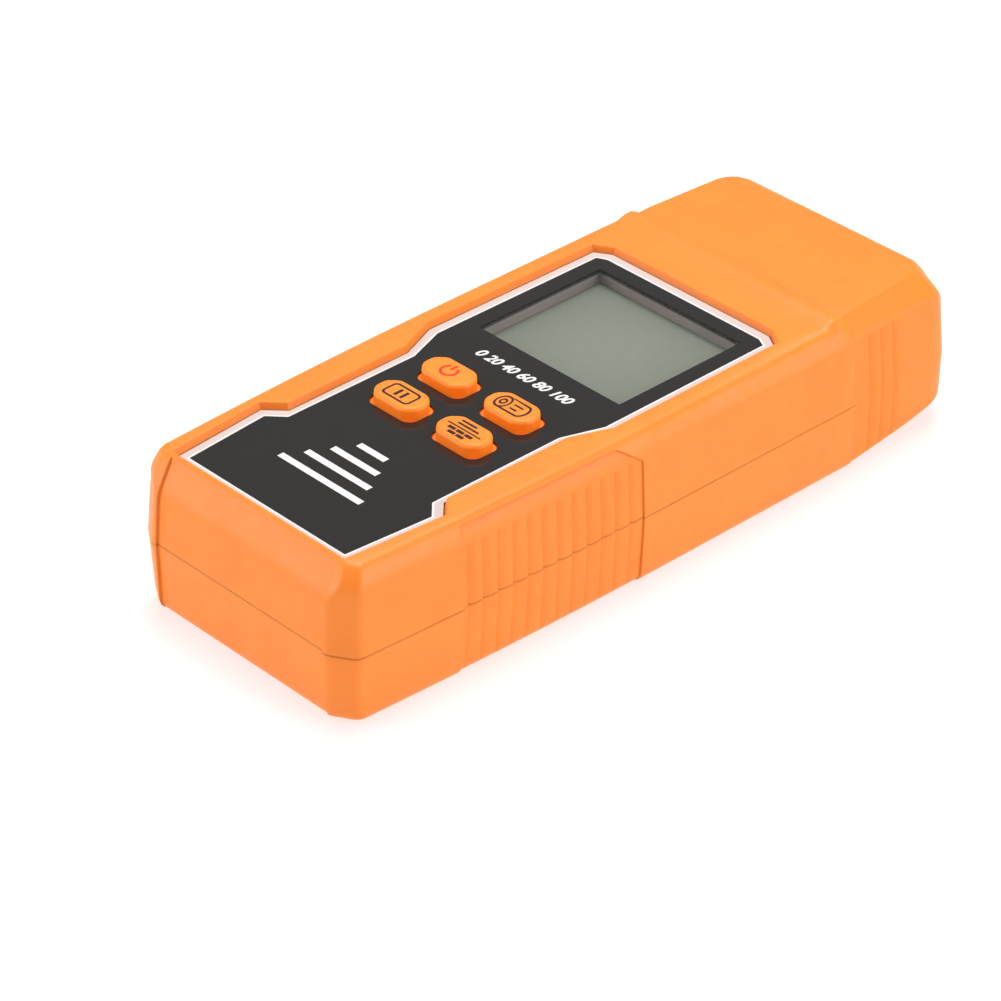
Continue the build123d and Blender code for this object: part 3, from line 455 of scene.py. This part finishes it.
def print_on(name, curve, body, ink_material, place, bold=0.0):
    """Turn a curve in millimetres into a printed piece at a place in metres, riding on a body."""
    holder = bpy.data.objects.new(name, curve)
    bpy.context.scene.collection.objects.link(holder)
    bpy.context.view_layer.update()
    graph = bpy.context.evaluated_depsgraph_get()
    mesh = bpy.data.meshes.new_from_object(holder.evaluated_get(graph))
    bpy.data.objects.remove(holder)
    if bold:
        thicken(mesh, bold)
    mesh.transform(Matrix.Translation(place) @ Matrix.Scale(MM, 4))
    mesh.materials.clear()
    mesh.materials.append(ink_material)
    piece = bpy.data.objects.new(name, mesh)
    bpy.context.scene.collection.objects.link(piece)
    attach(piece, body)
    return piece


def ring_points(centre, radii, count=24):
    """Points of an ellipse."""
    turns = [2 * math.pi * step / count for step in range(count)]
    return [(centre[0] + radii[0] * math.cos(turn), centre[1] + radii[1] * math.sin(turn)) for turn in turns]


def bar(x, y, width, height):
    """Points of a box with its lower left corner at x, y."""
    return [(x, y), (x + width, y), (x + width, y + height), (x, y + height)]


def rounded_box(half_w, half_h, radius):
    """Points of a box with rounded corners, centred on the origin."""
    steps = 6
    points = []
    for corner, (x, y) in enumerate(((1, 1), (-1, 1), (-1, -1), (1, -1))):
        centre = (x * (half_w - radius), y * (half_h - radius))
        for step in range(steps + 1):
            turn = math.pi / 2 * (corner + step / steps)
            points.append((centre[0] + radius * math.cos(turn), centre[1] + radius * math.sin(turn)))
    return points


def level_bars(ink_material):
    """Plain bars of growing length under the keys: a sign for a level that rises."""
    outlines = []
    for index, length in enumerate(BAR_LENGTHS):
        y = BARS_FIRST_Y - index * BARS_PITCH
        outlines.append(bar(-length / 2, y, length, BAR_H))
    curve = flat_curve("level_bars", outlines)
    print_on("level_bars", curve, "meter", ink_material, Vector((0, 0, LABEL_INK_Z)))


def label_outline(half):
    """A closed outline from its right half, listed from the near end to the far end."""
    return half + [(-x, y) for x, y in reversed(half)]


def border(line_ink, band_ink):
    """A pale band round the charcoal field, with a brighter line at its inner edge."""
    edge = [(18.72, -59.22), (20.22, -41.85), (17.12, -38.85), (17.32, -14.72),
            (20.12, -7.72), (19.92, 27.42), (17.14, 29.12)]
    line = [(17.6, -58.45), (18.95, -42.45), (16.25, -39.9), (16.25, -14.65),
            (18.85, -7.5), (18.65, 26.7), (16.8, 27.75)]
    field = [(17.3, -58.1), (18.6, -42.55), (15.95, -40.05), (15.95, -14.6),
             (18.5, -7.45), (18.35, 26.55), (16.65, 27.4)]
    for name, outer, inner, ink_material in (
        ("label_band", edge, line, band_ink),
        ("label_line", line, field, line_ink),
    ):
        curve = flat_curve(name, [label_outline(outer), label_outline(inner)])
        print_on(name, curve, "meter", ink_material, Vector((0, 0, LABEL_INK_Z)))


def moisture_scale(ink_material):
    """A row of generic percentages between the display and the keys."""
    curve = numerals("moisture_scale", "0 20 40 60 80 100", SCALE_SIZE)
    place = Vector((SCALE_AT[0] * MM, SCALE_AT[1] * MM, LABEL_INK_Z))
    print_on("moisture_scale", curve, "meter", ink_material, place, bold=SCALE_BOLD)


def power_symbol():
    """An open ring with a stroke through its gap."""
    count = 30
    gap = math.radians(35)
    radius = 1.6
    hole = 1.15
    bar_w = 0.44
    sweep = 2 * math.pi - 2 * gap
    turns = [math.pi / 2 + gap + sweep * step / count for step in range(count + 1)]
    outer = [(radius * math.cos(turn), radius * math.sin(turn)) for turn in turns]
    inner = [(hole * math.cos(turn), hole * math.sin(turn)) for turn in reversed(turns)]
    return [outer + inner, bar(-bar_w / 2, 0.25, bar_w, 1.55)]


def hold_symbol():
    """Two upright strokes in a frame, the usual sign for holding a reading."""
    frame_line = rounded_box(2.95, 1.8, 0.85)
    frame_hole = rounded_box(2.55, 1.4, 0.55)
    return [frame_line, frame_hole, bar(-0.95, -0.95, 0.6, 1.9), bar(0.35, -0.95, 0.6, 1.9)]


def wood_symbol():
    """A sawn log lying on its side: growth rings on its cut end and two grain lines along the trunk."""
    end_x = -1.9
    far_x = 2.1
    radius = 1.8
    hole = 1.38
    stroke = 0.42
    rings = [ring_points((end_x, 0), (size * 0.75, size)) for size in (radius, 1.35, 0.85, 0.4)]
    bark_x = end_x + 0.6
    bark = [bar(bark_x, y, far_x - bark_x, stroke) for y in (hole, -radius)]
    grain = [bar(end_x + 1.9, 0.35, 1.9, 0.38), bar(end_x + 1.9, -0.75, 1.5, 0.38)]
    count = 14
    turns = [math.pi / 2 - math.pi * step / count for step in range(count + 1)]
    outer = [(far_x + 1.2 * math.cos(turn), radius * math.sin(turn)) for turn in turns]
    inner = [(far_x + 0.78 * math.cos(turn), hole * math.sin(turn)) for turn in reversed(turns)]
    return rings + bark + grain + [outer + inner]


def wall_symbol():
    """Lines on paper above two courses of bricks, parted by a line."""
    outlines = [bar(-3.5, -0.15, 7.0, 0.3)]
    for row, width in enumerate((4.4, 3.2)):
        outlines.append(bar(-2.2, 0.62 + row * 0.85, width, 0.42))
    for row, starts in enumerate(((-2.6, -0.8, 1.0), (-1.7, 0.1))):
        for start in starts:
            outlines.append(bar(start, -1.15 - row * 0.95, 1.55, 0.66))
    return outlines


def key_symbols(black, red):
    """One symbol on the top of each key, riding on that key."""
    symbols = {
        "power": (power_symbol(), red),
        "hold": (hold_symbol(), black),
        "wood": (wood_symbol(), black),
        "wall": (wall_symbol(), black),
    }
    for name in KEY_NAMES:
        low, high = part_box(name + "_key")
        place = Vector(((low.x + high.x) / 2, (low.y + high.y) / 2, high.z + INK_T * MM))
        outlines, ink_material = symbols[name]
        curve = flat_curve(name + "_symbol", outlines)
        print_on(name + "_symbol", curve, name + "_key_body", ink_material, place)


def add_prints():
    """Everything that is printed on the label and the keys."""
    white = ink("white_ink", (0.82, 0.79, 0.78), (0.78, 0.75, 0.74))
    black = ink("black_ink", (0.02, 0.012, 0.008), (0.035, 0.02, 0.012))
    red = ink("red_ink", (0.8, 0.03, 0.01), (0.72, 0.03, 0.01))
    border(white, ink("pale_ink", (0.67, 0.58, 0.55), (0.63, 0.54, 0.51)))
    moisture_scale(white)
    level_bars(white)
    key_symbols(black, red)


# ---------------------------------------------------------------- studio


def floor_material():
    """White table lit from below, with a barely visible tooth; from underneath it can be looked through."""
    surface = Surface("floor_table")
    tooth = surface.span(surface.noise(1.5 * MM, detail=3.0), 0.0, 1.0)
    surface.set(Base_Color=surface.mix(tooth, (0.43, 0.43, 0.43), (0.41, 0.41, 0.41)), Roughness=0.9)
    surface.set(Specular_IOR_Level=0.1, Emission_Color=(0.98, 1.0, 1.0, 1.0), Emission_Strength=0.64)
    clear = surface.add("ShaderNodeBsdfTransparent")
    both = surface.add("ShaderNodeMixShader")
    surface.put(both.inputs[0], surface.add("ShaderNodeNewGeometry").outputs["Backfacing"])
    surface.put(both.inputs[1], surface.shader.outputs["BSDF"])
    surface.put(both.inputs[2], clear.outputs["BSDF"])
    surface.put(surface.output.inputs["Surface"], both.outputs["Shader"])
    return surface.material


def add_floor():
    """A wide table top."""
    reach = 6.0
    mesh = bpy.data.meshes.new("floor")
    top = -0.1 * MM
    corners = [(-reach, -reach, top), (reach, -reach, top), (reach, reach, top), (-reach, reach, top)]
    mesh.from_pydata(corners, [], [(0, 1, 2, 3)])
    mesh.materials.append(floor_material())
    floor = bpy.data.objects.new("floor", mesh)
    bpy.context.scene.collection.objects.link(floor)


def area_light(name, at, size, power, colour=(1, 1, 1)):
    """A square softbox aimed at the meter."""
    light = bpy.data.lights.new(name, "AREA")
    light.shape = "SQUARE"
    light.size = size
    light.energy = power
    light.color = colour
    holder = bpy.data.objects.new(name, light)
    holder.location = at
    holder.rotation_euler = (-Vector(at)).to_track_quat("-Z", "Y").to_euler()
    bpy.context.scene.collection.objects.link(holder)


def add_light():
    """White surroundings and three softboxes."""
    world = bpy.data.worlds.new("studio")
    bpy.context.scene.world = world
    world.use_nodes = True
    background = world.node_tree.nodes["Background"]
    background.inputs["Color"].default_value = (1, 1, 1, 1)
    background.inputs["Strength"].default_value = 0.42
    area_light("overhead", (-0.15, 0.2, 0.9), 0.6, 7.3)
    rosy = (1.0, 0.97, 0.98)
    area_light("right_fill", (0.85, 0.4, 0.35), 0.6, 4.6, rosy)
    area_light("near_fill", (-0.6, -0.8, 0.35), 0.6, 4.4, rosy)


def shift_lens_at_home(camera):
    """Shift the lens while the camera stands at its own place, and leave it straight anywhere else."""
    home = bpy.data.objects.new("camera_home", None)
    home.location = camera.location
    bpy.context.scene.collection.objects.link(home)
    curve = camera.data.driver_add("shift_y")
    curve.driver.type = "SUM"
    away = curve.driver.variables.new()
    away.type = "LOC_DIFF"
    away.targets[0].id = camera
    away.targets[1].id = home
    for modifier in list(curve.modifiers):
        curve.modifiers.remove(modifier)
    shift_by_distance = ((0.0, LENS_SHIFT), (HOME_REACH, 0.0))
    curve.keyframe_points.add(len(shift_by_distance))
    for key, value in zip(curve.keyframe_points, shift_by_distance):
        key.co = value
        key.interpolation = "LINEAR"
    curve.extrapolation = "CONSTANT"


def add_camera():
    """A level camera with its lens shifted down, so that upright edges stay parallel."""
    data = bpy.data.cameras.new("camera")
    data.sensor_width = SENSOR
    data.lens = LENS
    data.clip_start = 0.05
    data.clip_end = 50
    camera = bpy.data.objects.new("camera", data)
    camera.location = CAMERA_AT
    camera.rotation_euler = (math.pi / 2, 0, CAMERA_AZIMUTH)
    bpy.context.scene.collection.objects.link(camera)
    bpy.context.scene.camera = camera
    shift_lens_at_home(camera)


bpy.context.scene.view_settings.view_transform = "Standard"
dress_frame()
add_prints()
add_floor()
add_light()
add_camera()
